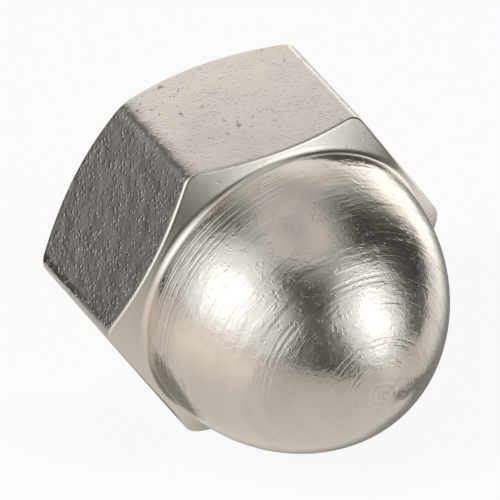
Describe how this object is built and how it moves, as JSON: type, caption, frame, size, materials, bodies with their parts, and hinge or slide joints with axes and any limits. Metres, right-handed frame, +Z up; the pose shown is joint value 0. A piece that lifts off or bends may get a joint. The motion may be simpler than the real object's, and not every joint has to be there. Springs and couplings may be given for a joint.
{
  "type": "cap nut",
  "caption": "Domed cap nut: a chamfered hexagon topped by a closed, blunt-nosed dome, with a blind thread tapped from its bearing face.",
  "frame": {"origin": "on the surface that the nut lies on, below the middle of its length and of its width across corners", "axes": "+Y along the thread and out of its mouth, -Y towards the tip of the dome, +Z up, square to the flat that the nut lies on"},
  "size_m": [0.0182, 0.0176, 0.016],
  "materials": {
    "plated_steel": "bright nickel plating over steel: finely turned on the dome, chamfers and bearing face, matt and lightly pitted on the six flats"
  },
  "bodies": {
    "root": {"cap_nut": "plated_steel"}
  },
  "joints": []
}
